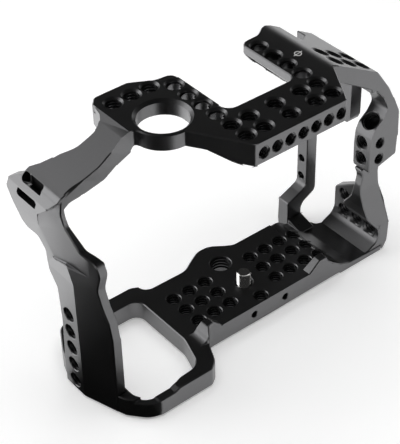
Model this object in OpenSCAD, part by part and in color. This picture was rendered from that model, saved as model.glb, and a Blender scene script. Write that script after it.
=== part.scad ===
// Camera cage for a mirrorless camera with a grip, in millimetres.
// Origin: axis of the tripod screw, on the top face of the platform.
// +X runs to the port side, +Y to the camera's back, +Z up.

/* [Frame] */
// Overall width, grip post to port arm
cage_w = 160; // [156:1:172]
// Overall depth, front edge of the top plate to back of the battery ring
cage_d = 64; // [62:0.5:70]
// Clear height for the camera, platform to the top plate
bay_h = 93.4; // [90:0.2:100]
// Top plate thickness
plate_t = 10.2; // [9:0.2:12]
// Base plate thickness
base_t = 9.3; // [8.4:0.1:11]
// Thickness round the shutter dial opening
ring_t = 8.5; // [7.6:0.1:9]
// Thickness of the floor of the port dish
floor_t = 3; // [2.6:0.1:3.6]
// Radius that the corner shares of the outlines refer to
corner_r = 3; // [2:0.1:3.6]

/* [Openings] */
// Bore of the shutter dial opening
dial_d = 20.4; // [18:0.2:22]
// Chamfer of the shutter dial opening
dial_edge = 1.3; // [0.5:0.1:1.6]
// Wall of the ring round the shutter dial opening
dial_wall = 2.8; // [2:0.1:4]
// Length of a strap slot
slot_l = 12.6; // [11:0.2:14]
// Width of a strap slot
slot_w = 4.6; // [4.2:0.1:5]
// Thickness of the grip post's thin wall
flange_t = 4; // [3.6:0.1:4.6]
// Thickness of the grip post behind its threaded holes
post_t = 6.4; // [6:0.1:7.4]
// Depth of the port arm, front to back
arm_d = 9.6; // [9:0.1:11]
// Thickness of the port wall
wall_t = 5.9; // [5.4:0.1:6.6]
// Width of the back post
back_w = 6; // [5.6:0.1:6.8]
// Depth of the back post
back_d = 6.6; // [6.4:0.1:7.6]

/* [Threaded holes] */
// Quarter-inch thread, major diameter
quarter_d = 6.35; // [6.3:0.01:6.4]
// Three-eighths thread, major diameter
three_eighths_d = 9.525; // [9.5:0.01:9.6]
// Three-eighths hole in the port block, bored at its inner diameter
slant_d = 8.2; // [7.8:0.1:8.4]
// Front row thread, major diameter
row_d = 5; // [4:0.5:5.5]
// Small front hole in the base
pin_hole_d = 3.2; // [2.5:0.1:3.6]
// Pitch of the quarter-inch hole pattern
pitch = 8.5; // [8.3:0.1:8.7]
// Pitch of the front row
row_pitch = 6.4; // [6.2:0.1:6.6]
// Pitch of the holes down the grip post
post_pitch = 8.85; // [8.4:0.05:9.2]
// Mouth of the chamfered holes in the top plate
mouth_d = 8.05; // [7.4:0.05:8.1]
// Chamfer on the other holes
small_edge = 0.3; // [0.1:0.05:0.5]

/* [Camera screw] */
// Reach of the camera screw above the platform
screw_reach = 5.6; // [4.5:0.1:6.5]
// Camera screw head diameter
head_d = 13; // [11:0.2:13.6]
// Camera screw head height
head_h = 3.8; // [3:0.1:4]
// Counterbore diameter under the platform
pocket_d = 15; // [14.6:0.1:17]
// Counterbore depth
pocket_h = 6; // [5.6:0.1:6.2]
// Nylon washer thickness
washer_t = 1; // [0.8:0.05:1.2]
// Relieved neck that keeps the camera screw captive
neck_d = 5.2; // [4.6:0.1:5.6]
// Chamfer on the tip of the camera screw
tip_edge = 0.6; // [0.3:0.1:0.9]
// Thread that stays below the platform's top face
thread_below = 0.3; // [0.2:0.1:0.4]
// Chamfer round the camera screw on the platform
screw_edge = 1.1; // [1:0.1:1.4]
// Camera screw's hex socket, across flats
key_w = 4; // [3:0.5:5]
// Camera screw's coin slot width
coin_w = 1.6; // [1.2:0.1:2]
// Depth of the hex socket
key_h = 2.6; // [2:0.1:3]
// Depth of the coin slot
coin_h = 1.4; // [1:0.1:1.8]

/* [Joint fasteners] */
// Joint screw thread, major diameter
joint_screw_d = 2.5; // [2.3:0.1:2.7]
// Joint screw head diameter
flat_d = 4.7; // [4.4:0.1:5]
// Dowel pin diameter
dowel_d = 2; // [1.8:0.1:2.4]
// Hex socket of the joint screws, across flats
hex_w = 1.5; // [1.3:0.1:1.7]

/* [Fits] */
// Radial clearance of the camera screw in the platform
screw_fit = 0.07; // [0.03:0.01:0.1]
// Clearance all round a tenon, a screw or a dowel
joint_fit = 0.03; // [0.01:0.01:0.06]

/* [Hidden] */
$fn = 64;
over = 1;
arc_steps = 5;
reach_share = 0.48;
straight_half = 88;
top_z = bay_h + plate_t;
steel = [0.72, 0.72, 0.70];
nylon = [0.86, 0.85, 0.80];
black = [0.10, 0.10, 0.105];

// Main places that pieces share, as shares of the frame
seam_left_x = -0.3375*cage_w;
seam_right_x = 0.206*cage_w;
bend_share = 4;
front_y = -0.234*cage_d;
rear_y = 0.345*cage_d;
port_x = 0.4545*cage_w;
wall_x = port_x - wall_t;
post_x = -0.54*cage_w;
back_x0 = 0.349*cage_w;
back_y1 = rear_y + back_d;
dial_x = -0.2403*cage_w;
dial_y = 0.009*cage_d;
post_front = -0.303*cage_d;
post_rear = 0.142*cage_d;

// Piece to show: all, or one of the names above

// Outlines with rounded corners

function unit(v) = v/norm(v);
function short_turn(a) = a > 180 ? a - 360 : a < -180 ? a + 360 : a;

// Points that round the corner p, between its neighbours a and b, to radius r
function corner(a, p, b, r) =
    let (to_a = unit(a - p), to_b = unit(b - p), half = acos(max(-1, min(1, to_a*to_b)))/2)
    r == 0 || half > straight_half ? [p] :
    let (cut = min(r/tan(half), reach_share*min(norm(a - p), norm(b - p))),
        round_r = cut*tan(half),
        mid = p + unit(to_a + to_b)*norm([round_r, cut]),
        start = p + to_a*cut - mid, end = p + to_b*cut - mid,
        from = atan2(start.y, start.x), turn = short_turn(atan2(end.y, end.x) - from))
    [for (i = [0:arc_steps])
        mid + round_r*[cos(from + turn*i/arc_steps), sin(from + turn*i/arc_steps)]];

// Outline from shares of a width and a height; a third share rounds the corner
function outline(shares, w, h) =
    let (n = len(shares), p = [for (s = shares) [s[0]*w, s[1]*h]])
    [for (i = [0:n - 1])
        each corner(p[(i + n - 1)%n], p[i], p[(i + 1)%n],
            len(shares[i]) > 2 ? shares[i][2]*corner_r : 0)];

// Slab seen from above, between two heights
module plan_slab(shares, z0, z1) {
    translate([0, 0, z0]) linear_extrude(z1 - z0) polygon(outline(shares, cage_w, cage_d));
}

// Slab seen from the front, between two depths
module front_slab(shares, y0, y1) {
    translate([0, y1, 0]) rotate([90, 0, 0]) linear_extrude(y1 - y0)
        polygon(outline(shares, cage_w, top_z));
}

// Slab seen from the port side, between two places across
module side_slab(shares, x0, x1) {
    translate([x0, 0, 0]) rotate([90, 0, 90]) linear_extrude(x1 - x0)
        polygon(outline(shares, cage_d, top_z));
}

module box_between(a, b) {
    translate(a) cube(b - a);
}

// Holes, drilled down from a mouth at z = 0

module tapped(d, depth, edge) {
    translate([0, 0, -depth]) cylinder(d = d, h = depth + over);
    translate([0, 0, -edge]) cylinder(d1 = d, d2 = d + 2*(edge + over), h = edge + over);
}

module facing_left() { rotate([0, -90, 0]) children(); }
module facing_front() { rotate([90, 0, 0]) children(); }
module facing_down() { rotate([180, 0, 0]) children(); }
module facing_right() { rotate([0, 90, 0]) children(); }
module facing_rear() { rotate([-90, 0, 0]) children(); }

// Joint screws and dowel pins: head or end at z = 0, reaching down

flat_h = (flat_d - joint_screw_d)/2;

module flat_screw(l) {
    difference() {
        union() {
            translate([0, 0, -l]) cylinder(d = joint_screw_d, h = l);
            translate([0, 0, -flat_h]) cylinder(d1 = joint_screw_d, d2 = flat_d, h = flat_h);
        }
        translate([0, 0, -flat_h*0.8]) cylinder(d = hex_w/cos(30), h = flat_h + over, $fn = 6);
    }
}

// The head may lie below the face, at the bottom of an access bore
module flat_hole(l, access = over) {
    fit = 2*joint_fit;
    translate([0, 0, -l - joint_fit]) cylinder(d = joint_screw_d + fit, h = l + joint_fit);
    translate([0, 0, -flat_h - joint_fit])
        cylinder(d1 = joint_screw_d + fit, d2 = flat_d + 2*fit, h = flat_h + joint_fit);
    cylinder(d = flat_d + 2*fit, h = access);
}

module dowel(l) {
    translate([0, 0, -l]) cylinder(d = dowel_d, h = l);
}

module dowel_hole(l) {
    translate([0, 0, -l - joint_fit]) cylinder(d = dowel_d + 2*joint_fit, h = l + joint_fit + over);
}

// Joint between grip arm and top plate: a tongue on the plate, screwed from below through the arm

ring_z = top_z - ring_t;
tongue_t = 2.8;
tongue_l = 0.0435*cage_w;
tongue_w = 0.172*cage_d;
tongue_mid_y = 0.109*cage_d;
tongue_z = 0.917*top_z;
arm_head_z = tongue_z - 1.15*flat_h;
arm_screw_l = tongue_z + tongue_t - arm_head_z;
arm_screw_x = seam_left_x - tongue_l + 0.62*flat_d;
arm_screw_gap = 1.15*flat_d;
arm_pin_x = seam_left_x - 0.7*dowel_d;
arm_pin_l = 2.2*dowel_d;

module tongue(gap) {
    box_between([seam_left_x - tongue_l - gap, tongue_mid_y - tongue_w/2 - gap, tongue_z - gap],
        [seam_left_x + over*(gap == 0 ? 1 : 0), tongue_mid_y + tongue_w/2 + gap, tongue_z + tongue_t + gap]);
}

module at_arm_screws() {
    for (side = [-1, 1])
        translate([arm_screw_x, tongue_mid_y + side*arm_screw_gap/2, arm_head_z]) facing_down() children();
}

module at_arm_pin() {
    translate([arm_pin_x, tongue_mid_y, arm_head_z + 0.3*dowel_d]) facing_down() children();
}

// Joint between port arm and top plate

tenon_t = 3.2;
port_tenon_l = 0.044*cage_w;
port_tenon_z = bay_h + plate_t/3;
port_screw_l = 0.8*plate_t;
port_tenon_y0 = front_y + 0.08*cage_d;
port_tenon_y1 = rear_y - 0.03*cage_d;
port_screw_shares = [0.14, 0.5, 0.86];
port_pin_shares = [0.32, 0.68];

module port_tenon(gap) {
    box_between([seam_right_x - port_tenon_l - gap, port_tenon_y0 - gap, port_tenon_z - gap],
        [seam_right_x + over*(gap == 0 ? 1 : 0), port_tenon_y1 + gap, port_tenon_z + tenon_t + gap]);
}

module at_port_top(shares) {
    for (s = shares)
        translate([seam_right_x - port_tenon_l/2, port_tenon_y0 + s*(port_tenon_y1 - port_tenon_y0),
            bay_h]) facing_down() children();
}

// Joint between the grip post and the battery ring, screwed from inside the ring

post_in_x = post_x + post_t;
bar_t = 4;
post_bite = 2.6;
post_screw_l = bar_t + post_bite;
post_joint_z = -base_t/2;
post_screw_shares = [-0.085, -0.185];
post_pin_share = 0.115;

module at_post_base(shares) {
    for (s = shares)
        translate([post_in_x + bar_t, s*cage_d, post_joint_z]) facing_right() children();
}

// Joint between the port arm's foot and the floor of the dish, screwed from below

dish_drop = 0.6;
floor_share = 0.43;
lap_share = floor_share + joint_fit/cage_w;
foot_bottom = -base_t - dish_drop;
foot_bite = 3.2;
foot_screw_l = floor_t + foot_bite;
foot_rear = 0.228*cage_d;
foot_joint_x = wall_x + 0.06*wall_t;
foot_screw_shares = [0.14, 0.5, 0.86];
foot_pin_shares = [0.32, 0.68];

module at_foot(shares) {
    for (s = shares)
        translate([foot_joint_x, front_y + s*(foot_rear - front_y), foot_bottom])
            facing_down() children();
}

// Joints of the back post: foot against the plate's rear face, top under the shoulder

pad_z = -1.6;
pad_bite = 5;
pad_screw_l = back_d + pad_bite;
pad_y = 0.24*cage_d;
foot_x0 = 0.281*cage_w;
foot_x1 = 0.333*cage_w;
foot_joint_z = (pad_z - base_t)/2;
rail_z = 0.70*top_z;
rail_front = -0.05*cage_d;
rail_joint_shares = [0.3, 0.62];
rail_pin_share = 0.46;
rail_screw_l = 0.11*top_z;
pad_screw_share = 0.3;
pad_pin_share = 0.78;

module at_post_foot(x_share) {
    translate([foot_x0 + x_share*(foot_x1 - foot_x0), back_y1, foot_joint_z]) facing_rear() children();
}

module at_rail(shares) {
    for (s = shares)
        translate([back_x0 + back_w/2, rail_front + s*(rear_y - rail_front), rail_z])
            facing_down() children();
}

// Base plate with the battery ring and the port dish

base_shares = [[0.333, 0.345, 0.3], [0.356, 0.228, 0.8], [floor_share, 0.228, 0.6],
    [floor_share, -0.234], [-0.199, -0.234, 1.5], [-0.224, -0.331, 4], [-0.247, -0.456, 2], [-0.271, -0.498, 1],
    [-0.43, -0.498, 1.5], [-0.4625, -0.47, 3], [-0.5, -0.358, 1], [-0.54, -0.086, 3], [-0.54, 0.11, 1.5],
    [-0.52, 0.248, 1], [-0.502, 0.328, 2], [-0.475, 0.445, 2], [-0.247, 0.445, 2], [-0.23, 0.42, 1],
    [-0.222, 0.373, 1], [-0.208, 0.351, 1.5], [-0.0925, 0.345, 3], [-0.056, 0.398, 2],
    [-0.018, 0.447, 3], [0.02, 0.445, 3], [0.056, 0.378, 3], [0.078, 0.345, 2]];
battery_shares = [[-0.26, -0.178, 4], [-0.289, -0.41, 2], [-0.35, -0.42, 2], [-0.371, -0.438, 2],
    [-0.448, -0.438, 2], [-0.475, -0.375, 2.5], [-0.475, 0.322, 1.5], [-0.26, 0.322, 1.6]];
dish_shares = [[0.213, -0.0075], [0.24, -0.0075, 1.4], [0.2688, -0.0405, 1.5], [0.3075, -0.0627, 2],
    [0.3656, -0.0676, 1], [0.45, -0.0676], [0.45, 0.1], [0.213, 0.1]];
front_bar_shares = [[-0.6, 0.03], [-0.376, 0.03], [-0.376, 0], [-0.39, -0.0105], [-0.434, -0.0105],
    [-0.439, -0.0145], [-0.6, -0.0145]];
front_bar_rear = -0.4*cage_d;
lip_d = 3.8;
lip_left_shares = [[-0.1475, -0.02], [-0.1475, -0.006], [-0.183, 0.0463, 0.3], [-0.204, 0.0463, 0.5],
    [-0.219, 0.027, 1.2], [-0.227, 0.009, 1], [-0.2455, 0], [-0.2455, -0.02]];
lip_right_shares = [[0.1515, -0.02], [0.1515, -0.004], [0.1895, 0.0463, 0.25], [0.2145, 0.0463, 0.25],
    [0.227, 0.011, 0.8], [0.2405, -0.0075], [0.235, -0.03]];
base_columns = [-3.5, -2.5, -1.5, 1.5, 2.5, 3.5];
base_rows = [-1, 0, 1];
strip_x = 4.5*pitch;
base_row_y = 0.0365*cage_d;
three_eighths_y = 0.246*cage_d;
front_quarter_y = -0.176*cage_d;

module base_body() {
    difference() {
        plan_slab(base_shares, foot_bottom, 0);
        plan_slab(battery_shares, -base_t - over, over);
        // Underside is flat under the platform and steps down only under the dish
        box_between([-cage_w, -cage_d, -base_t - over], [0.27*cage_w, cage_d, -base_t]);
        // Port dish, and the pad that stays high for the back post's foot
        difference() {
            front_slab(dish_shares, -cage_d, cage_d);
            box_between([foot_x0 - joint_fit, pad_y, -base_t - over], [foot_x1, cage_d, pad_z]);
        }
        // Front bar of the battery ring steps down twice towards the grip
        front_slab(front_bar_shares, -cage_d, front_bar_rear);
    }
    // Lips in front of the camera; the left one runs out on the battery ring
    intersection() {
        front_slab(lip_left_shares, post_front, front_y + lip_d);
        plan_slab(base_shares, -base_t, bay_h/2);
    }
    front_slab(lip_right_shares, front_y, front_y + lip_d);
}

// Room in the base for the foot of the grip post
module post_footprint() {
    intersection() {
        box_between([-cage_w, post_front, -base_t - 2*over], [0, post_rear, over]);
        union() {
            plan_slab([[-0.6, 0.58], [-0.6, -0.7], [-0.425 + wall_share, -0.7], [-0.497 + wall_share, -0.391],
                [-0.55 + wall_share, 0.023], [-0.55 + wall_share, 0.58]], -base_t - 2*over, over);
            box_between([-cage_w, -0.2*cage_d, -base_t - 2*over], [post_in_x, cage_d, over]);
        }
    }
}

module base_plate() color(black) difference() {
    base_body();
    post_footprint();
    // Quarter-inch pattern
    for (c = base_columns, r = base_rows)
        translate([c*pitch, base_row_y + r*pitch, 0]) tapped(quarter_d, base_t + over, small_edge);
    for (r = base_rows)
        translate([strip_x, base_row_y + r*pitch, -0.0075*top_z])
            tapped(quarter_d, base_t + over, small_edge);
    translate([0, front_quarter_y, 0]) tapped(quarter_d, base_t + over, small_edge);
    translate([0, three_eighths_y, 0]) tapped(three_eighths_d, base_t + over, small_edge);
    // Camera screw
    translate([0, 0, -base_t - over]) cylinder(d = pocket_d, h = pocket_h + over);
    tapped(quarter_d + 2*screw_fit, base_t, screw_edge);
    // Small holes in the front face
    for (s = [-0.0406, 0.068])
        translate([s*cage_w, front_y, -base_t/2]) facing_front() tapped(pin_hole_d, 0.75*base_t, small_edge);
    at_post_base(post_screw_shares) flat_hole(post_screw_l);
    at_post_base([post_pin_share]) dowel_hole(post_screw_l);
    at_foot(foot_screw_shares) flat_hole(foot_screw_l);
    at_foot(foot_pin_shares) dowel_hole(foot_screw_l);
    at_post_foot(pad_screw_share) flat_hole(pad_screw_l);
    at_post_foot(pad_pin_share) dowel_hole(pad_screw_l);
}

// Grip arm: sloping arm, thin outer wall with the strap slots, post with the threaded holes

arm_front_shares = [[-0.3375, 1], [-0.361, 0.981, 1], [-0.39, 0.945, 2], [-0.425, 0.907, 3],
    [-0.469, 0.887, 2], [-0.508, 0.879, 2], [-0.537, 0.857, 0.8], [-0.546, 0.838, 1], [-0.5525, 0.785, 1],
    [-0.55, 0.676, 3], [-0.54, 0.483, 3], [-0.54, -0.2], [-0.4, -0.2], [-0.4, 0.5], [-0.48, 0.824, 0],
    [-0.47, 0.824, 1], [-0.414, 0.8465, 2], [-0.376, 0.885, 2], [-0.34, 0.909, 1], [-0.3375, 0.912]];
arm_under_shares = [[-0.6, 0.76], [-0.529, 0.76], [-0.528, 0.793, 1], [-0.511, 0.8145, 1],
    [-0.47, 0.824, 1], [-0.414, 0.8465, 2], [-0.376, 0.885, 2], [-0.34, 0.909, 1], [-0.3375, 0.912],
    [-0.3375, 1.1], [-0.6, 1.1]];
arm_plan_shares = [[-0.3375, 0.003], [-0.3375, 0.369], [-0.345, 0.27, 1], [-0.357, 0.222, 1],
    [-0.374, 0.208, 2], [-0.414, 0.234, 2], [-0.457, 0.288, 2], [-0.506, 0.314, 1], [-0.5425, 0.391, 1],
    [-0.552, 0.5], [-0.58, 0.58], [-0.58, 0.003]];
// Plan of the thin wall: its outer face leans in towards the front
wall_share = flange_t/cage_w;
wall_plan_shares = [[-0.5625, 0.58], [-0.5625, 0.122], [-0.497, -0.391], [-0.45, -0.7],
    [-0.425 + wall_share, -0.7], [-0.497 + wall_share, -0.391], [-0.55 + wall_share, 0.023],
    [-0.55 + wall_share, 0.58]];
post_in_share = post_in_x/cage_w;
post_plan_shares = [[-0.5625, 0.142], [-0.5625, 0.122], [-0.52, -0.2], [post_in_share, -0.2],
    [post_in_share, 0.142]];
post_side_shares = [[-0.047, 0.97], [0.003, 0.842, 0], [0.019, 0.776, 1.5], [-0.003, 0.729, 2],
    [-0.1125, 0.647, 1.2], [-0.225, 0.633, 1.5], [-0.25, 0.579, 2], [-0.222, 0.502, 2],
    [-0.25, 0.427, 2], [-0.286, 0.364, 2], [-0.303, 0.28, 2], [-0.303, -0.2], [0.142, -0.2], [0.142, 0.014, 3],
    [0.12, 0.236, 3], [0.128, 0.335, 1], [0.134, 0.397, 1], [0.208, 0.457, 1.5], [0.214, 0.492, 1],
    [0.206, 0.556, 1], [0.261, 0.598, 1], [0.369, 0.594, 1], [0.425, 0.61, 1], [0.498, 0.68, 2],
    [0.545, 0.737, 1], [0.5, 0.79, 2], [0.391, 0.846, 1], [0.391, 0.97]];
upper_face_shares = [[-0.35, 0.562], [0.008, 0.561], [0.136, 0.551, 1], [0.202, 0.613, 2],
    [0.225, 0.699, 1], [0.217, 0.721, 1], [0.142, 0.76, 1], [0.066, 0.8, 1], [0.003, 0.84], [-0.35, 0.84]];
upper_wedge_shares = [[-0.55, 0.225], [-0.525, -0.172], [-0.51, -0.4], [-0.6, -0.4], [-0.6, 0.225]];
slot_tilt = 40;
slot_row_shares = [[-0.546, 0.259, 0.8425, 0.2], [-0.552, 0.318, 0.757, 0.5]];

module strap_slot(turn, skew) {
    half_l = slot_l/2;
    half_w = slot_w/2;
    lean = skew*half_w;
    rotate([0, turn, 0]) translate([-2*flange_t, 0, 0]) rotate([90, 0, 90]) linear_extrude(5*flange_t)
        polygon(outline([[half_l - lean, half_w, 0.4], [-half_l - lean, half_w, 0.4],
            [-half_l + lean, -half_w, 0.4], [half_l + lean, -half_w, 0.4]], 1, 1));
}

module grip_arm() color(black) difference() {
    union() {
        // Sloping arm from the top plate to the top of the post
        intersection() {
            front_slab(arm_front_shares, 0.003*cage_d, cage_d);
            front_slab(arm_under_shares, 0, cage_d);
            plan_slab(arm_plan_shares, 0.6*top_z, top_z);
            side_slab(post_side_shares, post_x - 3*corner_r, seam_left_x);
        }
        intersection() {
            front_slab(arm_front_shares, 0.003*cage_d, 0.33*cage_d);
            front_slab(arm_under_shares, 0, cage_d);
            plan_slab(arm_plan_shares, 0.86*top_z, top_z);
        }
        // Thin outer wall
        intersection() {
            front_slab(arm_front_shares, -cage_d, cage_d);
            side_slab(post_side_shares, -0.58*cage_w, -0.4*cage_w);
            plan_slab(wall_plan_shares, -base_t, 0.87*top_z);
        }
        // Thicker post behind the threaded holes
        intersection() {
            front_slab(arm_front_shares, -cage_d, cage_d);
            side_slab(post_side_shares, -0.58*cage_w, -0.4*cage_w);
            plan_slab(post_plan_shares, -base_t, 0.45*top_z);
        }
    }
    // Slot for the plate's tongue
    tongue(joint_fit);
    // Shallow turned-in face below the shoulder
    intersection() {
        side_slab(upper_face_shares, -0.6*cage_w, -0.45*cage_w);
        plan_slab(upper_wedge_shares, 0.5*top_z, 0.9*top_z);
    }
    // Strap slots
    translate([slot_row_shares[0][0]*cage_w, slot_row_shares[0][1]*cage_d, slot_row_shares[0][2]*top_z])
        strap_slot(slot_tilt, slot_row_shares[0][3]);
    translate([slot_row_shares[1][0]*cage_w, slot_row_shares[1][1]*cage_d, slot_row_shares[1][2]*top_z])
        strap_slot(0, slot_row_shares[1][3]);
    // Threaded holes down the post
    for (i = [0:4])
        translate([post_x, base_row_y, 0.299*top_z - i*post_pitch])
            facing_left() tapped(quarter_d, post_t + over, small_edge);
    at_arm_screws() flat_hole(arm_screw_l, flat_d);
    at_arm_pin() dowel_hole(arm_pin_l);
    at_post_base(post_screw_shares) flat_hole(post_screw_l);
    at_post_base([post_pin_share]) dowel_hole(post_screw_l);
}

// Top plate with the shoe gap, the shutter dial opening and the threaded holes

plate_shares = [[-0.3375, 0.003], [-0.325, 0.0, 1], [-0.32, -0.03], [-0.24, 0.009], [-0.24, -0.194],
    [-0.221, -0.269, 1.5], [-0.159, -0.525, 2], [-0.152, -0.553, 0.4], [0.13, -0.553, 0.3],
    [0.206, -0.234], [0.206, 0.3875, 0.4], [0.19, 0.384, 1.2], [0.158, 0.328, 2], [0.0963, 0.322, 1.3],
    [0.0963, -0.189, 1.1], [-0.1138, -0.189, 1.5], [-0.1138, 0.327, 1.2], [-0.164, 0.339, 2.3],
    [-0.2225, 0.4235, 1.5], [-0.319, 0.42, 0.8], [-0.3375, 0.369]];
bend_shares = [[-0.5, 1], [0.206, 1, bend_share], [0.367, 0.862], [0.367, 0.8], [-0.5, 0.8]];
thin_shares = [[-0.36, -0.1], [-0.24, -0.3], [-0.2, -0.3], [-0.155, -0.1], [-0.155, 0.6], [-0.36, 0.6]];
first_row_y = -0.441*cage_d;
left_row_y = 0.3*cage_d;
row_z = 0.947*top_z;
row_x = -0.1253*cage_w;

module plate_holes() {
    for (r = [0:5]) {
        translate([0.125*cage_w, first_row_y + r*pitch, top_z]) children();
        translate([-0.1406*cage_w, first_row_y + r*pitch, top_z]) children();
    }
    for (r = [0, 1], c = [-1.5, 0, 1.5])
        translate([-0.0078*cage_w + c*pitch, first_row_y + r*pitch, top_z]) children();
    for (i = [0:2])
        translate([-0.297*cage_w + i*pitch, left_row_y, top_z]) children();
}

module top_plate() color(black) difference() {
    union() {
        intersection() {
            plan_slab(plate_shares, bay_h, top_z);
            front_slab(bend_shares, -cage_d, cage_d);
        }
        translate([dial_x, dial_y, bay_h]) cylinder(d = dial_d + 2*dial_wall, h = plate_t);
        tongue(0);
    }
    plan_slab(thin_shares, bay_h - over, ring_z);
    translate([dial_x, dial_y, top_z]) tapped(dial_d, 2*plate_t, dial_edge);
    plate_holes() tapped(quarter_d, plate_t + over, (mouth_d - quarter_d)/2);
    for (i = [0:6])
        translate([row_x + i*row_pitch, -0.553*cage_d, row_z]) facing_front()
            tapped(row_d, 0.13*cage_d, small_edge);
    port_tenon(joint_fit);
    at_arm_screws() flat_hole(arm_screw_l, flat_d);
    at_arm_pin() dowel_hole(arm_pin_l);
    at_port_top(port_screw_shares) flat_hole(port_screw_l);
    at_port_top(port_pin_shares) dowel_hole(port_screw_l);
}

// Port arm: shoulder, slanted block, neck and wall

shoulder_shares = [[0.1, 1], [0.206, 1, bend_share], [0.367, 0.862, 1.3], [0.386, 0.81, 0.6], [0.386, 0.7722], [0.349, 0.7722, 0],
    [0.349, 0.79], [0.325, 0.813, 1], [0.246, 0.889, 1.5], [0.228, 0.9015, 1], [0.1, 0.9015]];
arm_shares = [[0.1, 1], [0.206, 1, bend_share], [0.367, 0.862, 1.3], [0.414, 0.759, 3], [0.432, 0.704, 3], [0.456, 0.623, 2],
    [0.46, 0.497, 1], [0.458, 0.406, 0.4], [0.358, 0.367, 0.4], [0.356, 0.486], [0.359, 0.547, 1],
    [0.369, 0.581, 1], [0.397, 0.616, 1.5], [0.413, 0.653, 1], [0.41, 0.675, 1], [0.394, 0.724, 2],
    [0.37, 0.769, 3], [0.325, 0.813, 2], [0.246, 0.889, 1.5], [0.228, 0.9015, 1], [0.1, 0.9015]];
neck_shares = [[0.358, 0.36], [0.367, 0.324, 1.5], [0.36, 0.28, 1.5], [0.361, 0.22, 1.5],
    [0.366, 0.163, 2], [0.376, 0.103, 1.5], [0.389, 0.073, 1], [0.412, 0.03, 1], [wall_x/cage_w, -0.009, 1],
    [0.4075, -0.0396, 1.5], [0.368, -0.0676], [lap_share, -0.0676], [lap_share, -0.0925],
    [0.4365, -0.0925, 0.8], [0.4435, -0.079, 1.2], [0.4525, -0.055, 1.2], [0.4545, 0.034, 1], [0.444, 0.131, 3], [0.431, 0.237, 2], [0.425, 0.315, 1], [0.43, 0.41]];
wall_shares = [[lap_share, -0.0676], [lap_share, -0.0925], [0.4365, -0.0925, 0.8],
    [0.4435, -0.079, 1.2], [0.4525, -0.055, 1.2], [0.4545, 0.034, 1],
    [0.444, 0.131, 3], [0.44, 0.2], [wall_x/cage_w, 0.2], [wall_x/cage_w, -0.009, 1], [0.4075, -0.0396, 1.5],
    [0.368, -0.0676]];
neck_side_shares = [[-0.234, -0.2], [-0.234, 0.039, 3], [-0.163, 0.251, 3], [-0.163, 0.42], [-0.09, 0.42],
    [-0.1, 0.28, 2], [-0.07, 0.2, 3], [0.03, 0.12], [0.03, -0.2]];
wall_side_shares = [[-0.234, -0.2], [-0.234, 0.039], [-0.19, 0.17], [0.028, 0.18, 1],
    [0.228, 0.1, 0.8], [0.228, -0.2]];
notch_shares = [[0.2525, 0.5], [0.2525, 0.17, 0.4], [0.3125, 0.31, 0.3], [0.3125, 0.5]];
slant_angle = 40;
block_front_z = [0.504, 0.425];
wall_hole_shares = [[0.127, 0.086], [0.127, 0.001], [-0.006, 0.001], [-0.142, 0.001]];
slope_angle = atan2(0.138*top_z, 0.161*cage_w);
slope_first = 0.0488*cage_w;

module on_slope(along, y) {
    translate([seam_right_x, y, top_z]) rotate([0, slope_angle, 0]) translate([along, 0, 0]) children();
}

module port_arm() color(black) difference() {
    union() {
        intersection() {
            front_slab(shoulder_shares, front_y, rear_y + 0.0425*cage_d);
            difference() {
                box_between([seam_right_x, front_y, 0], [cage_w, 0.3875*cage_d, top_z]);
                plan_slab(notch_shares, 0.5*top_z, 1.1*top_z);
            }
        }
        intersection() {
            front_slab(arm_shares, front_y, front_y + arm_d);
            box_between([seam_right_x, -cage_d, 0], [cage_w, cage_d, top_z]);
        }
        intersection() {
            front_slab(neck_shares, front_y, cage_d);
            side_slab(neck_side_shares, 0, cage_w);
        }
        intersection() {
            front_slab(wall_shares, front_y, cage_d);
            side_slab(wall_side_shares, 0, cage_w);
        }
        port_tenon(0);
    }
    // Slope holes, three across in two rows
    for (i = [0:2], j = [0, 1])
        on_slope(slope_first + i*pitch, -0.005*cage_d - j*pitch)
            tapped(quarter_d, plate_t + corner_r, (mouth_d - quarter_d)/2);
    // Holes in the block
    for (s = block_front_z) {
        translate([0.3575*cage_w, front_y + 0.56*arm_d, s*top_z]) facing_left()
            tapped(quarter_d, 0.12*cage_w, small_edge);
        translate([0.3935*cage_w, front_y, s*top_z]) facing_front()
            tapped(row_d, 0.8*arm_d, small_edge);
    }
    // Three-eighths hole square to the slanted face
    translate([0.3815*cage_w, front_y + 0.5*arm_d, 0.598*top_z]) rotate([0, -slant_angle, 0])
        tapped(slant_d, 0.8*slant_d, small_edge);
    // Holes in the wall
    for (s = wall_hole_shares)
        translate([wall_x, s[0]*cage_d, s[1]*top_z]) facing_left()
            tapped(quarter_d, wall_t + corner_r, small_edge);
    at_port_top(port_screw_shares) flat_hole(port_screw_l);
    at_port_top(port_pin_shares) dowel_hole(port_screw_l);
    at_foot(foot_screw_shares) flat_hole(foot_screw_l);
    at_foot(foot_pin_shares) dowel_hole(foot_screw_l);
    at_rail(rail_joint_shares) flat_hole(rail_screw_l);
    at_rail([rail_pin_share]) dowel_hole(rail_screw_l);
}

// Back post with its foot, and the rail that runs forward under the shoulder

back_share = (back_x0 + back_w)/cage_w;
foot_shares = [[0.281, -0.0898], [0.281, 0.058, 0.3], [0.325, 0.087, 1], [back_x0/cage_w, 0.106, 1],
    [back_x0/cage_w, 0.7722], [back_share, 0.7722], [back_share, 0.077, 0.8], [0.381, 0.058, 0.8], [0.341, 0.025, 1],
    [0.333, 0.0, 0.6], [0.333, -0.0898]];
hook_shares = [[0.3612, 0.76], [0.3612, 0.84, 0.3], [back_share, 0.82, 0.3], [back_share, 0.76]];
rail_side_shares = [[0.38, 0.7722], [-0.05, 0.7722], [-0.05, 0.6], [-0.02, 0.555, 0.5], [0.03, 0.6, 1],
    [0.06, 0.7, 1.5], [0.3, 0.7, 1.5], [0.38, 0.6]];

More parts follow.
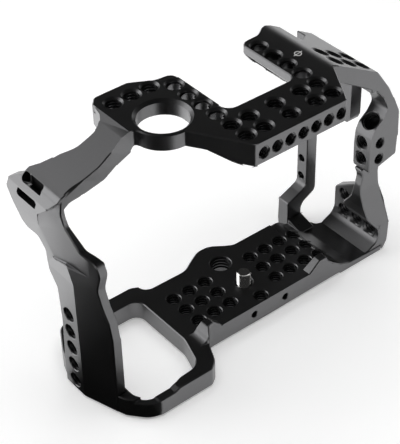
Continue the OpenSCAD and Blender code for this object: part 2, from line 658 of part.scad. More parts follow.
module rear_post() color(black) difference() {
    union() {
        front_slab(foot_shares, rear_y, back_y1);
        front_slab(hook_shares, 0.3925*cage_d, back_y1);
        side_slab(rail_side_shares, back_x0, back_x0 + back_w);
    }
    for (s = [0.2385, 0.1448])
        translate([back_x0, rear_y + 0.55*back_d, s*top_z]) facing_left()
            tapped(0.7*row_d, 0.7*back_w, small_edge);
    at_post_foot(pad_screw_share) flat_hole(pad_screw_l);
    at_post_foot(pad_pin_share) dowel_hole(pad_screw_l);
    at_rail(rail_joint_shares) flat_hole(rail_screw_l);
    at_rail([rail_pin_share]) dowel_hole(rail_screw_l);
}

// Camera screw and its washer

washer_z = -base_t + pocket_h;
head_top = washer_z - washer_t - joint_fit;

module tripod_screw() color(steel) difference() {
    union() {
        translate([0, 0, head_top - head_h]) cylinder(d = head_d, h = head_h);
        translate([0, 0, head_top - over]) cylinder(d = neck_d, h = screw_reach - head_top);
        translate([0, 0, -thread_below]) cylinder(d = quarter_d, h = screw_reach - tip_edge + thread_below);
        translate([0, 0, screw_reach - tip_edge])
            cylinder(d1 = quarter_d, d2 = quarter_d - 2*tip_edge, h = tip_edge);
    }
    // Coin slot and hex socket in the head
    translate([-head_d, -coin_w/2, head_top - head_h - over]) cube([2*head_d, coin_w, coin_h + over]);
    translate([0, 0, head_top - head_h - over])
        cylinder(d = key_w/cos(30), h = key_h + over, $fn = 6);
}

module screw_washer() color(nylon) difference() {
    translate([0, 0, washer_z - washer_t]) cylinder(d = head_d, h = washer_t - joint_fit);
    translate([0, 0, washer_z - washer_t - over]) cylinder(d = quarter_d + 2*screw_fit, h = washer_t + 2*over);
}

// Fasteners of the joints

module arm_top_screws() color(steel) at_arm_screws() flat_screw(arm_screw_l);
module port_top_screws() color(steel) at_port_top(port_screw_shares) flat_screw(port_screw_l);
module arm_base_screws() color(steel) at_post_base(post_screw_shares) flat_screw(post_screw_l);
module port_base_screws() color(steel) at_foot(foot_screw_shares) flat_screw(foot_screw_l);
module post_top_screws() color(steel) at_rail(rail_joint_shares) flat_screw(rail_screw_l);
module post_foot_screw() color(steel) at_post_foot(pad_screw_share) flat_screw(pad_screw_l);
module arm_top_pins() color(steel) at_arm_pin() dowel(arm_pin_l);
module port_top_pins() color(steel) at_port_top(port_pin_shares) dowel(port_screw_l);
module arm_base_pins() color(steel) at_post_base([post_pin_share]) dowel(post_screw_l);
module port_base_pins() color(steel) at_foot(foot_pin_shares) dowel(foot_screw_l);
module post_top_pin() color(steel) at_rail([rail_pin_share]) dowel(rail_screw_l);
module post_foot_pin() color(steel) at_post_foot(pad_pin_share) dowel(pad_screw_l);

base_plate();
grip_arm();
top_plate();
port_arm();
rear_post();
tripod_screw();
screw_washer();
arm_top_screws();
port_top_screws();
arm_base_screws();
port_base_screws();
post_top_screws();
post_foot_screw();
arm_top_pins();
port_top_pins();
arm_base_pins();
port_base_pins();
post_top_pin();
post_foot_pin();
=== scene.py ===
import math

import bpy
from mathutils import Matrix, Vector


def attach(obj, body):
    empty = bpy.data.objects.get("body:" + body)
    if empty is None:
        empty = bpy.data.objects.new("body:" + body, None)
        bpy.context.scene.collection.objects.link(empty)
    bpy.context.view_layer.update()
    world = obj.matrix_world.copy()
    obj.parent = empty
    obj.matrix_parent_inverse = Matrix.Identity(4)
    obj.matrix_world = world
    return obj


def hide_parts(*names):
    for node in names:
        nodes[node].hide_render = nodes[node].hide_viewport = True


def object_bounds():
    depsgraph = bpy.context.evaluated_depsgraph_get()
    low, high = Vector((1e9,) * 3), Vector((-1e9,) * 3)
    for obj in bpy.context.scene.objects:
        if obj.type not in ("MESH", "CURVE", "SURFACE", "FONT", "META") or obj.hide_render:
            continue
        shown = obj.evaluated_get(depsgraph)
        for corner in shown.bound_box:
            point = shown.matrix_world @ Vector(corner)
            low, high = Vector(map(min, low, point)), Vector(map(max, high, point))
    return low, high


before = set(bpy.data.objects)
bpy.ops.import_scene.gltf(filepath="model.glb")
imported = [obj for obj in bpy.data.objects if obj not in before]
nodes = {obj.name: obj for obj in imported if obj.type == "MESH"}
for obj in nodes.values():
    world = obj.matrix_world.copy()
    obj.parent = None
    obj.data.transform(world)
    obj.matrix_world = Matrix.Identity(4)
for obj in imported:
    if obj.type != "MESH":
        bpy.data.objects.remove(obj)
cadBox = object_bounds()
mm = 0.001
perMetre = 1000
print("stage: frame loaded")


# Small helpers

def selectOnly(piece):
    if bpy.context.object and bpy.context.object.mode != "OBJECT":
        bpy.ops.object.mode_set(mode="OBJECT")
    bpy.ops.object.select_all(action="DESELECT")
    piece.select_set(True)
    bpy.context.view_layer.objects.active = piece


def startEdit(piece):
    selectOnly(piece)
    bpy.ops.object.mode_set(mode="EDIT")
    bpy.ops.mesh.select_all(action="DESELECT")


def endEdit():
    bpy.ops.object.mode_set(mode="OBJECT")


def applyModifiers(piece):
    selectOnly(piece)
    for modifier in list(piece.modifiers):
        bpy.ops.object.modifier_apply(modifier=modifier.name)


def addBox(low, high):  # between two corners in mm
    bpy.ops.object.select_all(action="DESELECT")
    bpy.ops.mesh.primitive_cube_add(size=1, location=[(a + b) / 2 * mm for a, b in zip(low, high)])
    box = bpy.context.object
    box.scale = [(b - a) * mm for a, b in zip(low, high)]
    bpy.ops.object.transform_apply(location=True, rotation=True, scale=True)
    return box


def joinPieces(pieces, name):
    selectOnly(pieces[0])
    for other in pieces[1:]:
        other.select_set(True)
    bpy.ops.object.join()
    whole = bpy.context.object
    whole.name = name
    whole.data.name = name
    return whole


def finishPiece(piece, material, body="frame", replaced=()):
    piece.data.materials.clear()
    piece.data.materials.append(material)
    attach(piece, body)
    if replaced:
        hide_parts(*replaced)


# Camera, from the vanishing lines and the two hole grids

camera = {"place": (-0.28434, -0.33607, 0.39196), "lens": 111.05, "shift": -0.1011, "sensor": 36,
          "near": 0.01, "far": 50, "right": (0.76267, -0.64679, 0.0), "up": (0.40870, 0.48193, 0.77505)}


def addCamera():
    bpy.ops.object.camera_add(location=camera["place"])
    eye = bpy.context.object
    right, up = Vector(camera["right"]), Vector(camera["up"])
    eye.rotation_mode = "QUATERNION"
    eye.rotation_quaternion = Matrix((right, up, right.cross(up))).transposed().to_quaternion()
    eye.data.sensor_width = camera["sensor"]
    eye.data.lens = camera["lens"]
    eye.data.shift_x = camera["shift"]
    eye.data.clip_start = camera["near"]
    eye.data.clip_end = camera["far"]
    bpy.context.scene.camera = eye


addCamera()
print("stage: camera")


# Shader maths: one socket that takes part in sums

class Value:
    def __init__(self, shader, socket):
        self.shader = shader
        self.socket = socket

    def maths(self, operation, *others, clamp=False):
        settings = {"operation": operation, "use_clamp": clamp}
        return self.shader.node("ShaderNodeMath", settings, [self, *others])

    def clamped(self):
        return self.maths("ADD", 0, clamp=True)

    def __add__(self, other):
        return self.maths("ADD", other)

    def __mul__(self, other):
        return self.maths("MULTIPLY", other)

    def __sub__(self, other):
        return self.maths("SUBTRACT", other)

    def __truediv__(self, other):
        return self.maths("DIVIDE", other)

    def __rsub__(self, other):
        return self.shader.node("ShaderNodeMath", {"operation": "SUBTRACT"}, [other, self])

    def below(self, limit, soft):
        return ((limit - self) / soft + 0.5).clamped()


class Shader:
    def __init__(self, name, world=None):
        self.material = world or bpy.data.materials.new(name)
        self.material.use_nodes = True
        self.tree = self.material.node_tree
        self.surface = self.tree.nodes["Background" if world else "Principled BSDF"]

    def node(self, kind, settings=None, inputs=None, output=0):
        made = self.tree.nodes.new(kind)
        for key, value in (settings or {}).items():
            setattr(made, key, value)
        pairs = inputs.items() if isinstance(inputs, dict) else enumerate(inputs or [])
        for key, value in pairs:
            if isinstance(value, Value):
                self.tree.links.new(value.socket, made.inputs[key])
            else:
                made.inputs[key].default_value = value
        return Value(self, made.outputs[output])

    def place(self):
        return self.node("ShaderNodeTexCoord", output="Object")

    def axes(self, where):
        split = self.node("ShaderNodeSeparateXYZ", None, [where]).socket.node
        return [Value(self, socket) for socket in split.outputs]

    def noise(self, where, scale, detail=2):
        return self.node("ShaderNodeTexNoise", None, {"Vector": where, "Scale": scale, "Detail": detail})

    def mixColour(self, factor, first, second):  # sockets 6 and 7 take the two colours
        return self.node("ShaderNodeMix", {"data_type": "RGBA"}, {0: factor, 6: first, 7: second}, output=2)

    def bump(self, height, strength, distance):
        sockets = {"Height": height, "Strength": strength, "Distance": distance}
        return self.node("ShaderNodeBump", None, sockets)

    def fill(self, sockets):
        for key, value in sockets.items():
            if isinstance(value, Value):
                self.tree.links.new(value.socket, self.surface.inputs[key])
            else:
                self.surface.inputs[key].default_value = value
        return self.material


anodisedLook = {"dark": (0.165, 0.165, 0.168, 1), "pale": (0.190, 0.190, 0.194, 1), "metal": 1.0,
                "cloud": 60, "rough": 0.30, "roughSpread": 0.07,
                "grain": 9000, "grainDepth": 0.000006, "grainStrength": 0.12}
planeMark = {"at": (28.0, 0.0), "ring": 1.45, "stroke": 0.22, "bar": 2.42, "barStroke": 0.19, "lean": 0.146,
             "above": 103.3, "soft": 0.06, "paint": (0.52, 0.52, 0.51, 1), "rough": 0.55}


def markMask(shader, where):  # circle with a line through it, level with the sensor
    x, y, z = shader.axes(where)
    across = x * perMetre - planeMark["at"][0]
    along = y * perMetre - planeMark["at"][1] - across * planeMark["lean"]
    radius = (across * across + along * along).maths("SQRT")
    ring = (radius - planeMark["ring"]).maths("ABSOLUTE").below(planeMark["stroke"], planeMark["soft"])
    bar = along.maths("ABSOLUTE").below(planeMark["barStroke"], planeMark["soft"])
    bar = bar * across.maths("ABSOLUTE").below(planeMark["bar"], planeMark["soft"])
    return ring.maths("MAXIMUM", bar) * (z * perMetre).maths("GREATER_THAN", planeMark["above"])


def anodisedMaterial(name, marked=False):
    shader = Shader(name)
    where = shader.place()
    broad = shader.noise(where, anodisedLook["cloud"], 3)
    grain = shader.noise(where, anodisedLook["grain"], 2)
    colour = shader.mixColour(broad, anodisedLook["dark"], anodisedLook["pale"])
    rough = broad * anodisedLook["roughSpread"] + anodisedLook["rough"]
    metal = anodisedLook["metal"]
    if marked:
        mark = markMask(shader, where)
        colour = shader.mixColour(mark, colour, planeMark["paint"])
        rough = rough + mark * (planeMark["rough"] - anodisedLook["rough"])
        metal = (1 - mark) * metal
    return shader.fill({
        "Base Color": colour, "Metallic": metal, "Roughness": rough,
        "Normal": shader.bump(grain, anodisedLook["grainStrength"], anodisedLook["grainDepth"])})


steelLook = {"colour": (0.78, 0.77, 0.75, 1), "metal": 1.0,
             "rough": 0.12, "roughSpread": 0.08, "speck": 700}
oxideLook = {"colour": (0.045, 0.045, 0.048, 1), "metal": 0.8,
             "rough": 0.33, "roughSpread": 0.15, "speck": 2500}
# painted shade: a near-black, duller copy of the anodised finish, used only on the backs of the strap slots
slotShadeLook = {"colour": (0.028, 0.028, 0.029, 1), "metal": 0.6,
            "rough": 0.5, "roughSpread": 0.1, "speck": 2000}
nylonLook = {"dark": (0.78, 0.77, 0.72, 1), "pale": (0.84, 0.83, 0.78, 1), "rough": 0.5, "speck": 1500}


def speckledMetal(name, look):
    shader = Shader(name)
    speck = shader.noise(shader.place(), look["speck"])
    return shader.fill({"Base Color": look["colour"], "Metallic": look["metal"],
                        "Roughness": speck * look["roughSpread"] + look["rough"]})


def paleNylon():
    shader = Shader("paleNylon")
    speck = shader.noise(shader.place(), nylonLook["speck"])
    colour = shader.mixColour(speck, nylonLook["dark"], nylonLook["pale"])
    return shader.fill({"Base Color": colour, "Roughness": nylonLook["rough"]})


anodised = anodisedMaterial("blackAnodised")
markedPlate = anodisedMaterial("blackAnodisedMarked", marked=True)
steel = speckledMetal("brightSteel", steelLook)
oxide = speckledMetal("blackOxideSteel", oxideLook)
paintedSlotShade = speckledMetal("paintedSlotShade", slotShadeLook)
nylon = paleNylon()
print("stage: materials")


# Hole places in mm, which the threads and the unbroken mouths share

grid = {"pitch": 8.5, "columns": (-3.5, -2.5, -1.5, 1.5, 2.5, 3.5), "rows": (-1, 0, 1),
        "baseRow": 2.336, "frontRow": -11.264, "dishColumn": 38.25, "dishTop": -0.777,
        "plateTop": 103.6, "plateRow": -28.224, "plateColumns": (20, -22.496),
        "middleFirst": -13.998, "middlePitch": 12.75, "thinFirst": -47.52, "thinRow": 19.2,
        "hollowBeyond": 19, "hollowBehind": -12,
        "frontFirst": -20.048, "frontPitch": 6.4, "frontFace": -35.392, "frontLevel": 98.11,
        "slope": math.atan2(14.2968, 25.76), "slopeEdge": 32.96, "slopeFirst": 7.808, "slopeRow": -0.32,
        "postFace": -86.4, "postTop": 30.98, "postPitch": 8.85, "slant": 40}
pitch, plateTop = grid["pitch"], grid["plateTop"]
baseRows = [grid["baseRow"] + r * pitch for r in grid["rows"]]
plateRows = [grid["plateRow"] + r * pitch for r in range(6)]
baseHoles = [(c * pitch, y, 0) for c in grid["columns"] for y in baseRows]
baseHoles += [(grid["dishColumn"], y, grid["dishTop"]) for y in baseRows]
baseHoles += [(0, grid["frontRow"], 0)]
largeHole = (0, 15.744, 0)
plateHoles = [(x, y, plateTop) for x in grid["plateColumns"] for y in plateRows]
middleColumns = [grid["middleFirst"] + c * grid["middlePitch"] for c in range(3)]
plateHoles += [(x, y, plateTop) for x in middleColumns for y in plateRows[:2]]
thinHoles = [(grid["thinFirst"] + i * pitch, grid["thinRow"], plateTop) for i in range(3)]
hollowHoles = [hole for hole in plateHoles  # where the plate is thin
               if abs(hole[0]) > grid["hollowBeyond"] and hole[1] > grid["hollowBehind"]]
plateHoles = [hole for hole in plateHoles if hole not in hollowHoles]
rowHoles = [(grid["frontFirst"] + i * grid["frontPitch"], grid["frontFace"], grid["frontLevel"])
            for i in range(7)]
slopeHoles = []
for i in range(3):
    along = grid["slopeFirst"] + i * pitch
    slopeHoles += [(grid["slopeEdge"] + along * math.cos(grid["slope"]), grid["slopeRow"] - j * pitch,
                    plateTop - along * math.sin(grid["slope"])) for j in (0, 1)]
wallHoles = [(66.82, 8.128, 8.91), (66.82, 8.128, 0.104), (66.82, -0.384, 0.104), (66.82, -9.088, 0.104)]
blockSideHoles = [(57.2, -9.6, 52.21), (57.2, -9.6, 44.03)]
blockFrontHoles = [(62.96, -14.976, 52.21), (62.96, -14.976, 44.03)]
slantHole = (61.04, -10.176, 61.95)
postHoles = [(grid["postFace"], grid["baseRow"], grid["postTop"] - i * grid["postPitch"]) for i in range(5)]
strapSlots = [(-87.0, 16.6, 86.0), (-88.0, 20.4, 79.0)]
mouthGroups = [  # reach of the zone in which no edge is broken
    (4.4, baseHoles + plateHoles + hollowHoles + thinHoles + wallHoles + postHoles + blockSideHoles),
    (6.8, slopeHoles), (3.1, rowHoles + blockFrontHoles), (11.0, strapSlots), (14.0, [slantHole]),
    (6.0, [largeHole])]
mouths = [(Vector(hole), reach) for reach, holes in mouthGroups for hole in holes]


# Dressed copies of the machined pieces, with their edges broken

edges = {"width": 0.42 * mm, "sharp": 50, "weld": 0.02 * mm, "smooth": 24, "creased": 14,
         "seams": (-54.0, 33.0), "seamSoft": 0.08,
         "quiet": {"grip_arm": (-61.0, -53.0), "top_plate": (-61.5, -53.2)}}


def mergedCopy(name, newName):
    selectOnly(nodes[name])
    bpy.ops.object.duplicate()
    piece = bpy.context.object
    piece.name = newName
    piece.data.name = newName
    bpy.ops.mesh.customdata_custom_splitnormals_clear()
    startEdit(piece)
    bpy.ops.mesh.select_all(action="SELECT")
    bpy.ops.mesh.remove_doubles(threshold=edges["weld"])
    endEdit()
    return piece


plateHollows = {"boxes": [((-27.6, -15.6, 90.0), (-16.0, 23.5, 97.9), 97.9),
                          ((13.5, -11.0, 90.0), (21.4, 23.0, 102.6), 93.0)],
                "roofSpan": 1, "level": 0.06, "thin": 95.1, "raised": 96.6, "rim": -53.6,
                "thick": 93.4, "stepAt": (-33.1, -19.2), "stepReach": 2.2, "ramp": (5.2, -8.5)}


def hollowPlate(piece):  # the plate is thin beside the shoe gap, with a roof that may slope to the right
    for low, high, farRoof in plateHollows["boxes"]:
        cutter = addBox(low, high)
        roof, middle = high[2] - plateHollows["roofSpan"], (low[0] + high[0]) / 2
        for vertex in cutter.data.vertices:
            if vertex.co.z > roof * mm and vertex.co.x > middle * mm:
                vertex.co.z = farRoof * mm
        cut = piece.modifiers.new("hollow", "BOOLEAN")
        cut.operation = "DIFFERENCE"
        cut.solver = "EXACT"
        cut.object = cutter
        applyModifiers(piece)
        bpy.data.objects.remove(cutter)
    stepAt, level = Vector(plateHollows["stepAt"]), plateHollows["level"]
    for vertex in piece.data.vertices:
        x, y, z = vertex.co / mm
        atStep = (Vector((x, y)) - stepAt).length < plateHollows["stepReach"]
        if x > plateHollows["rim"] and abs(z - plateHollows["thin"]) < level:
            vertex.co.z = plateHollows["raised"] * mm
        elif atStep and abs(z - plateHollows["thick"]) < level:
            vertex.co.x += plateHollows["ramp"][0] * mm
            vertex.co.y += plateHollows["ramp"][1] * mm


armEase = {"profile": [(-54.0, 103.6), (-57.7, 101.6), (-61.8, 98.5), (-68.0, 94.0), (-75.0, 91.9),
                       (-81.3, 91.1), (-85.9, 88.8)],
           "near": 0.4, "start": (-57.7, 102.5), "startSpan": 0.5, "end": -85.5, "drop": 0.487,
           "sight": (-0.501, -0.591, 0.632),
           "corner": (-83.5, 23.5, 84.0), "cornerIn": 2.3, "cornerRise": 4}


def easeArm(piece):  # one even slope from the plate to the wall's corner
    mesh = piece.data
    sight = Vector(armEase["sight"])
    startX, startZ = armEase["start"]
    startSpan = armEase["startSpan"]
    for vertex in mesh.vertices:
        point = vertex.co / mm
        for (x0, z0), (x1, z1) in zip(armEase["profile"], armEase["profile"][1:]):
            if x1 < point.x <= x0 and armEase["end"] < point.x < startX + startSpan:
                cad = z0 + (z1 - z0) * (point.x - x0) / (x1 - x0)
                if abs(point.z - cad) > armEase["near"]:
                    break
                lift = startZ - armEase["drop"] * (startX - point.x) - point.z
                if point.x > startX - startSpan:
                    point.z += lift
                else:
                    point += sight * (lift / (sight.z - sight.x * armEase["drop"]))
                vertex.co = point * mm
                break
    cornerX, cornerY, cornerZ = armEase["corner"]
    for vertex in mesh.vertices:
        x, y, z = vertex.co / mm
        if x < cornerX and y > cornerY and z > cornerZ:
            vertex.co.y -= armEase["cornerIn"] * min(1, (z - cornerZ) / armEase["cornerRise"]) * mm


postPad = {"x": (44.5, 53.4), "y": (15.0, 22.5), "top": -1.6, "level": 0.05, "lowered": -2.9,
           "toeFrom": 16, "toe": (-2.6, -2.6)}


def lowerPad(piece):  # the seat of the back post runs down into the dish
    (left, right), (front, back) = postPad["x"], postPad["y"]
    for vertex in piece.data.vertices:
        x, y, z = vertex.co / mm
        if left < x < right and front < y < back and abs(z - postPad["top"]) < postPad["level"]:
            vertex.co.z = postPad["lowered"] * mm
            if y < postPad["toeFrom"]:
                vertex.co.y += postPad["toe"][0] * mm
                vertex.co.z += postPad["toe"][1] * mm


shaping = {"top_plate": hollowPlate, "grip_arm": easeArm, "base_plate": lowerPad}


def markSharp(piece, name):  # sharp edges that get broken: none at a hole's mouth or along a joint
    startEdit(piece)
    bpy.ops.mesh.select_mode(type="EDGE")
    bpy.ops.mesh.edges_select_sharp(sharpness=math.radians(edges["sharp"]))
    endEdit()
    mesh = piece.data
    weights = mesh.attributes.new("bevel_weight_edge", "FLOAT", "EDGE")
    for edge in mesh.edges:
        if not edge.select:
            continue
        first, second = (mesh.vertices[v].co / mm for v in edge.vertices)
        middle = (first + second) / 2
        joint = any(abs(first.x - x) < edges["seamSoft"] and abs(second.x - x) < edges["seamSoft"]
                    for x in edges["seams"])
        quiet = edges["quiet"].get(name)
        joint = joint or quiet is not None and quiet[0] < middle.x < quiet[1]
        if not joint and all((middle - mouth).length > reach for mouth, reach in mouths):
            weights.data[edge.index].value = 1
    bpy.ops.object.mode_set(mode="EDIT")
    bpy.ops.mesh.select_mode(type="VERT")
    endEdit()


def dressedCopy(name, newName):
    piece = mergedCopy(name, newName)
    if name in shaping:
        shaping[name](piece)
    markSharp(piece, name)
    bevel = piece.modifiers.new("brokenEdges", "BEVEL")
    bevel.width = edges["width"]
    bevel.segments = 1
    bevel.limit_method = "WEIGHT"
    bevel.use_clamp_overlap = False
    applyModifiers(piece)
    smooth = edges["creased"] if name == "grip_arm" else edges["smooth"]
    bpy.ops.object.shade_smooth_by_angle(angle=math.radians(smooth))
    return piece


strapBack = {"boxes": [((-84.1, 8.5, 79.0), (-80.4, 22.6, 87.4)),
                       ((-84.1, 9.0, 73.5), (-80.4, 29.0, 81.5))],
             "corner": 1.0, "segments": 3}


def strapBacks():  # closes the strap slots behind, where the strap turns, with a block whose much darker material is painted shade for the slot recesses
    backs = []
    for low, high in strapBack["boxes"]:
        backs.append(addBox(low, high))
        bpy.ops.object.mode_set(mode="EDIT")
        bpy.ops.mesh.select_all(action="SELECT")
        bpy.ops.mesh.bevel(offset=strapBack["corner"] * mm, segments=strapBack["segments"])
        endEdit()
    back = joinPieces(backs, "strapSlotShadeBack")
    bpy.ops.object.shade_smooth_by_angle(angle=math.radians(edges["smooth"]))
    finishPiece(back, paintedSlotShade)


strapBacks()
for name, newName in [("base_plate", "platform"), ("grip_arm", "gripPost"), ("top_plate", "topPlate"),
                      ("port_arm", "portShoulder"), ("rear_post", "backPost")]:
    finish = markedPlate if name == "top_plate" else anodised
    finishPiece(dressedCopy(name, newName), finish, replaced=[name])
print("stage: machined pieces")


# Threads: a tooth turned round the axis, going down from the mouth of its hole

threads = {"quarter": {"outer": 3.2, "crest": 2.62, "pitch": 1.27},
           "threeEighths": {"outer": 4.79, "crest": 4.05, "pitch": 1.5875},
           "slanted": {"outer": 4.12, "crest": 3.5, "pitch": 1.5875},
           "row": {"outer": 2.52, "crest": 2.1, "pitch": 0.8},
           "steps": 26, "root": 0.46, "tip": 0.09, "smooth": 40, "weld": 0.001 * mm}


def threadTooth(kind, turns, start):
    size = threads[kind]
    bpy.ops.object.select_all(action="DESELECT")
    middle = (size["outer"] + size["crest"]) / 2
    bpy.ops.mesh.primitive_plane_add(size=1, location=(middle * mm, 0, 0), rotation=(math.pi / 2, 0, 0))
    tooth = bpy.context.object
    tooth.scale = ((size["outer"] - size["crest"]) * mm, 2 * threads["root"] * size["pitch"] * mm, 1)
    bpy.ops.object.transform_apply(location=True, rotation=True, scale=True)
    for vertex in tooth.data.vertices:
        vertex.select = vertex.co.x < middle * mm
    bpy.ops.object.mode_set(mode="EDIT")
    bpy.ops.transform.resize(value=(1, 1, threads["tip"] / threads["root"]))
    bpy.ops.mesh.select_all(action="SELECT")
    bpy.ops.mesh.delete(type="ONLY_FACE")
    endEdit()
    turn = tooth.modifiers.new("helix", "SCREW")
    turn.axis = "Z"
    turn.screw_offset = -size["pitch"] * mm
    turn.iterations = turns
    turn.steps = threads["steps"]
    turn.render_steps = threads["steps"]
    applyModifiers(tooth)
    bpy.ops.object.mode_set(mode="EDIT")
    bpy.ops.mesh.select_all(action="SELECT")
    bpy.ops.mesh.remove_doubles(threshold=threads["weld"])
    bpy.ops.mesh.select_all(action="DESELECT")
    bpy.ops.mesh.select_mode(type="EDGE")
    bpy.ops.mesh.select_non_manifold()
    bpy.ops.mesh.fill_holes(sides=4)
    bpy.ops.mesh.select_all(action="SELECT")
    bpy.ops.mesh.normals_make_consistent(inside=False)
    bpy.ops.transform.translate(value=(0, 0, -start * mm))
    bpy.ops.mesh.select_mode(type="VERT")
    endEdit()
    return tooth


turnedTo = {"up": (0, 0, 0), "left": (0, -math.pi / 2, 0), "front": (math.pi / 2, 0, 0)}


def threadHoles(newName, groups):
    made = []
    for kind, turns, start, facing, places in groups:
        tooth = threadTooth(kind, turns, start)
        for place in places:
            selectOnly(tooth)
            bpy.ops.object.duplicate()
            ridge = bpy.context.object
            ridge.location = [value * mm for value in place]
            ridge.rotation_euler = turnedTo.get(facing, facing)
            bpy.ops.object.transform_apply(location=True, rotation=True, scale=True)
            made.append(ridge)
        bpy.data.objects.remove(tooth)
    whole = joinPieces(made, newName)
    bpy.ops.object.shade_smooth_by_angle(angle=math.radians(threads["smooth"]))
    finishPiece(whole, anodised)


threadGroups = {  # kind, turns, depth of the first turn in mm, facing, holes
    "platformThreads": [("quarter", 6, 0.95, "up", baseHoles), ("threeEighths", 4, 1.1, "up", [largeHole])],
    "plateThreads": [("quarter", 6, 1.35, "up", plateHoles), ("quarter", 5, 1.35, "up", thinHoles),
                     ("quarter", 1, 1.35, "up", hollowHoles), ("row", 8, 0.65, "front", rowHoles)],
    "shoulderThreads": [("quarter", 5, 1.35, (0, grid["slope"], 0), slopeHoles),
                        ("quarter", 3, 0.95, "left", wallHoles),
                        ("quarter", 8, 0.95, "left", blockSideHoles),
                        ("row", 7, 0.65, "front", blockFrontHoles),
                        ("slanted", 3, 0.8, (0, -math.radians(grid["slant"]), 0), [slantHole])],
    "postThreads": [("quarter", 4, 0.8, "left", postHoles)]}
for newName, groups in threadGroups.items():
    threadHoles(newName, groups)
print("stage: threads in the holes")


# Camera screw: head and neck from its node, with a ringed shaft and a tip in place of the plain upper end

cameraScrew = {"cut": -1.2, "outer": 3.14, "root": 2.72, "top": 5.6, "pitch": 0.85, "tip": 0.6,
               "sides": 48, "smooth": 30}


def makeCameraScrew():
    head = mergedCopy("tripod_screw", "cameraScrew")
    startEdit(head)
    bpy.ops.mesh.select_all(action="SELECT")
    bpy.ops.mesh.bisect(plane_co=(0, 0, cameraScrew["cut"] * mm), plane_no=(0, 0, 1),
                        use_fill=True, clear_outer=True)
    endEdit()
    bpy.ops.object.select_all(action="DESELECT")
    outer = cameraScrew["outer"]
    length = cameraScrew["top"] - cameraScrew["cut"]
    middle = cameraScrew["cut"] + length / 2
    bpy.ops.mesh.primitive_cylinder_add(vertices=cameraScrew["sides"], radius=outer * mm,
                                        depth=length * mm, location=(0, 0, middle * mm))
    shaft = bpy.context.object
    bpy.ops.object.transform_apply(location=True, rotation=True, scale=True)
    mesh = shaft.data
    for part in (mesh.vertices, mesh.edges, mesh.polygons):
        for item in part:
            item.select = False
    for edge in mesh.edges:
        first, second = (mesh.vertices[v].co for v in edge.vertices)
        edge.select = abs(first.z - second.z) > mm
    bpy.ops.object.mode_set(mode="EDIT")
    bpy.ops.mesh.select_mode(type="EDGE")
    rings = round(length / cameraScrew["pitch"]) * 2 - 1
    bpy.ops.mesh.subdivide(number_cuts=rings)
    endEdit()
    step = length / (rings + 1)
    for vertex in mesh.vertices:
        level = round((vertex.co.z / mm - cameraScrew["cut"]) / step)
        if level % 2 == 1 or level == rings + 1:
            narrow = outer - cameraScrew["tip"] if level == rings + 1 else cameraScrew["root"]
            vertex.co.x *= narrow / outer
            vertex.co.y *= narrow / outer
    whole = joinPieces([head, shaft], "cameraScrewTurned")
    bpy.ops.object.shade_smooth_by_angle(angle=math.radians(cameraScrew["smooth"]))
    finishPiece(whole, steel, body="camera_screw", replaced=["tripod_screw"])


makeCameraScrew()
print("stage: camera screw")

nodeLooks = {"tripod_screw": steel, "screw_washer": nylon}
for name, node in nodes.items():
    fastener = name.endswith(("screws", "screw", "pins", "pin"))
    node.data.materials.clear()
    node.data.materials.append(nodeLooks.get(name, oxide if fastener else anodised))
print("stage: carried-over nodes")


# Floor, cards and lights

studio = {"floor": 0.0002, "floorSize": 8, "floorTone": (0.86, 0.86, 0.86, 1), "floorGlow": 0.3,
          "nearTo": 0.3, "farSpan": 1.2, "cardTone": (0.01, 0.01, 0.01, 1), "matt": 0.9, "aim": (0, 0, 0.05),
          "horizon": 0.8, "sky": 0.025, "skyFrom": 0.10, "skyTo": 0.32}
cards = {"darkCard": {"under": 0.0001, "glow": 0.0, "corners": [
             (-0.090, 0.012), (-0.60, 0.24), (-0.90, -0.30), (-0.50, -1.00), (-0.07, -0.50),
             (-0.060, -0.12), (-0.068, -0.036)]},
         "paleCard": {"under": 0.00005, "glow": 1.8, "corners": [
             (-0.10, 0.04), (-0.62, 0.32), (-0.75, 0.95), (-0.10, 1.10), (0.0, 0.50), (-0.04, 0.14)]}}
softLights = {"leftBack": {"place": (-0.49, 0.58, 0.30), "size": (0.6, 0.45), "power": 1.5, "glossy": True},
              "highBack": {"place": (-0.45, 0.60, 0.85), "size": (0.8, 0.6), "power": 1.2, "glossy": True},
              "top": {"place": (0.05, 0.0, 1.2), "size": (1.4, 1.4), "power": 14, "glossy": False}}


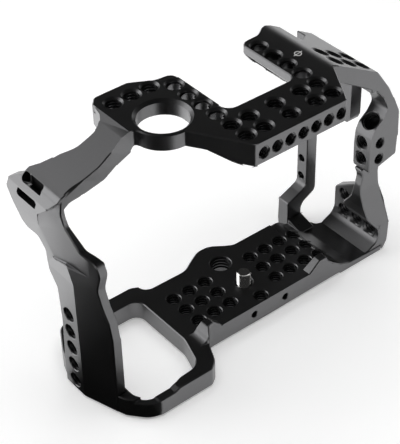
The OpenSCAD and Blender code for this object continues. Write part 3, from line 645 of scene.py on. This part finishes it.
def paleFloor():
    bpy.ops.object.select_all(action="DESELECT")
    level = cadBox[0].z - studio["floor"]
    bpy.ops.mesh.primitive_plane_add(size=studio["floorSize"], location=(0, 0, level))
    floor = bpy.context.object
    floor.name = "floor"
    shader = Shader("paleFloor")
    rays = shader.tree.nodes.new("ShaderNodeLightPath").outputs
    seen = Value(shader, rays["Is Camera Ray"]).maths("MAXIMUM", Value(shader, rays["Is Glossy Ray"]))
    seen = seen.maths("MAXIMUM", Value(shader, rays["Is Transmission Ray"]))
    x, y, z = shader.axes(shader.place())
    away = (x * x + y * y).maths("SQRT")
    far = ((away - studio["nearTo"]) / studio["farSpan"]).clamped()
    near = studio["floorGlow"]
    glow = shader.mixColour(far, (near, near, near, 1), (1, 1, 1, 1))
    floor.data.materials.append(shader.fill({
        "Base Color": studio["floorTone"], "Roughness": studio["matt"], "Specular IOR Level": 0,
        "Emission Color": glow, "Emission Strength": seen}))


def addCard(name, look):  # a card beside the object that only reflections show
    bpy.ops.object.select_all(action="DESELECT")
    bpy.ops.mesh.primitive_circle_add(vertices=len(look["corners"]), radius=0.1, fill_type="NGON",
                                      location=(0, 0, cadBox[0].z - look["under"]))
    card = bpy.context.object
    card.name = name
    for vertex, place in zip(card.data.vertices, look["corners"]):
        vertex.co.x, vertex.co.y = place
    shader = Shader(name)
    card.data.materials.append(shader.fill({
        "Base Color": studio["cardTone"], "Roughness": studio["matt"], "Specular IOR Level": 0,
        "Emission Color": (1, 1, 1, 1), "Emission Strength": look["glow"]}))
    card.visible_camera = False
    card.visible_diffuse = False
    card.visible_shadow = False
    card.visible_transmission = False


def addSoftLight(name, look):
    bpy.ops.object.light_add(type="AREA", location=look["place"])
    light = bpy.context.object
    light.name = name
    light.data.shape = "RECTANGLE"
    light.data.size, light.data.size_y = look["size"]
    light.data.energy = look["power"]
    light.rotation_mode = "QUATERNION"
    light.rotation_quaternion = (Vector(look["place"]) - Vector(studio["aim"])).to_track_quat("Z", "Y")
    light.visible_camera = False
    light.visible_glossy = look["glossy"]


def addWorld():  # pale along the horizon, dark above
    world = bpy.data.worlds.new("studio")
    bpy.context.scene.world = world
    shader = Shader("studio", world)
    height = shader.axes(shader.node("ShaderNodeTexCoord", output="Generated"))[2]
    pale = 1 - ((height - studio["skyFrom"]) / (studio["skyTo"] - studio["skyFrom"])).clamped()
    strength = pale * (studio["horizon"] - studio["sky"]) + studio["sky"]
    shader.fill({"Color": (1, 1, 1, 1), "Strength": strength})


paleFloor()
for name, look in cards.items():
    addCard(name, look)
for name, look in softLights.items():
    addSoftLight(name, look)
addWorld()
bpy.context.scene.view_settings.view_transform = "Standard"
print("stage: studio")
